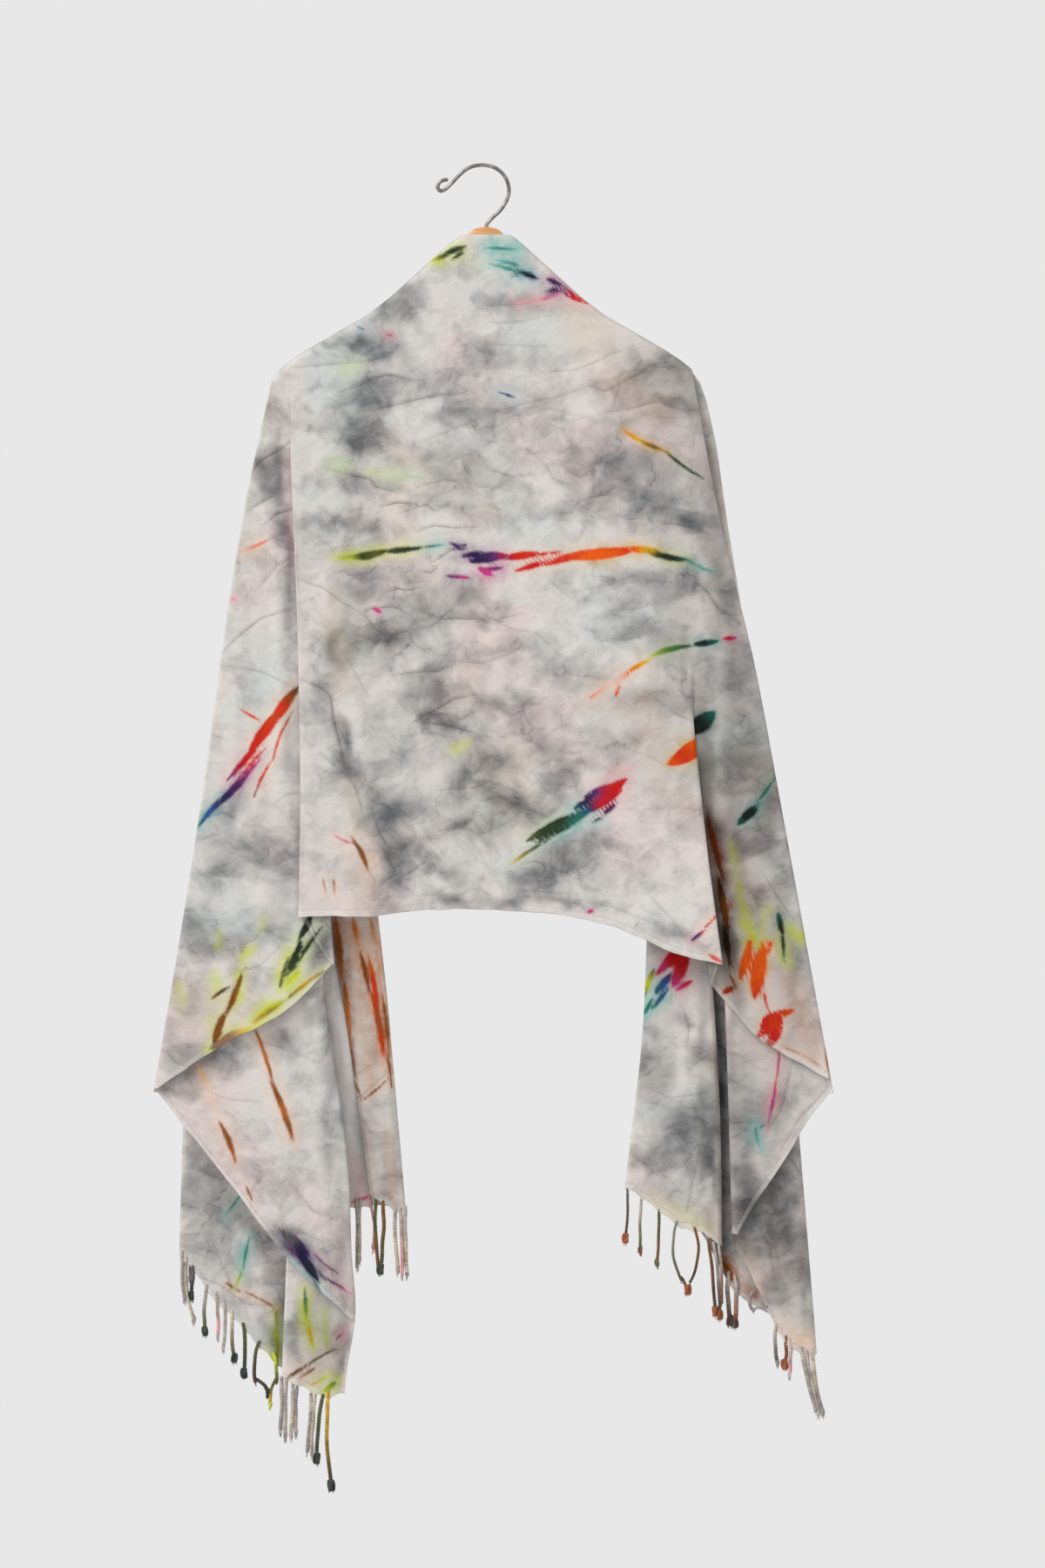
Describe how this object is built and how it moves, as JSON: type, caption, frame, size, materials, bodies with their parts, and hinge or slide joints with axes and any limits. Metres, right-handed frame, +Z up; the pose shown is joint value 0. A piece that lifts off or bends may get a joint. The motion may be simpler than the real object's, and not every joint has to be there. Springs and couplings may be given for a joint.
{
  "type": "fringed scarf on a hanger",
  "caption": "Tie-dyed rectangular scarf with knotted fringe on both short ends, draped over a plain wooden hanger with a wire hook.",
  "frame": {"origin": "highest inner point of the hanger's hook, where it rests on a rail", "axes": "+Z up; +X to the right of someone who faces the front; the front of the scarf faces -Y"},
  "size_m": [0.701, 0.0467, 1.3723],
  "materials": {
    "dyed_cloth": "matt plain weave, off-white with grey clouds and hand-dyed marks",
    "fringe_cord": "matt twisted cord, knotted ends dyed olive and orange",
    "hanger_wood": "satin clear lacquer on light wood",
    "hook_steel": "drawn wire, dull zinc"
  },
  "bodies": {
    "root": {"centre_panel": "dyed_cloth", "left_turn": "dyed_cloth", "left_wing_front": "dyed_cloth", "left_wing_back": "dyed_cloth", "left_tail_front": "dyed_cloth", "left_tail_turn": "dyed_cloth", "left_tail_outer": "dyed_cloth", "left_strip": "dyed_cloth", "left_back": "dyed_cloth", "right_turn": "dyed_cloth", "right_wing_front": "dyed_cloth", "right_wing_back": "dyed_cloth", "right_tail_front": "dyed_cloth", "right_strip": "dyed_cloth", "right_back": "dyed_cloth", "left_fringe_front": "fringe_cord", "left_fringe_outer": "fringe_cord", "left_fringe_strip": "fringe_cord", "left_fringe_back": "fringe_cord", "right_fringe_front": "fringe_cord", "right_fringe_strip": "fringe_cord", "right_fringe_back": "fringe_cord", "hanger_body": "hanger_wood", "hanger_hook": "hook_steel"}
  },
  "joints": []
}
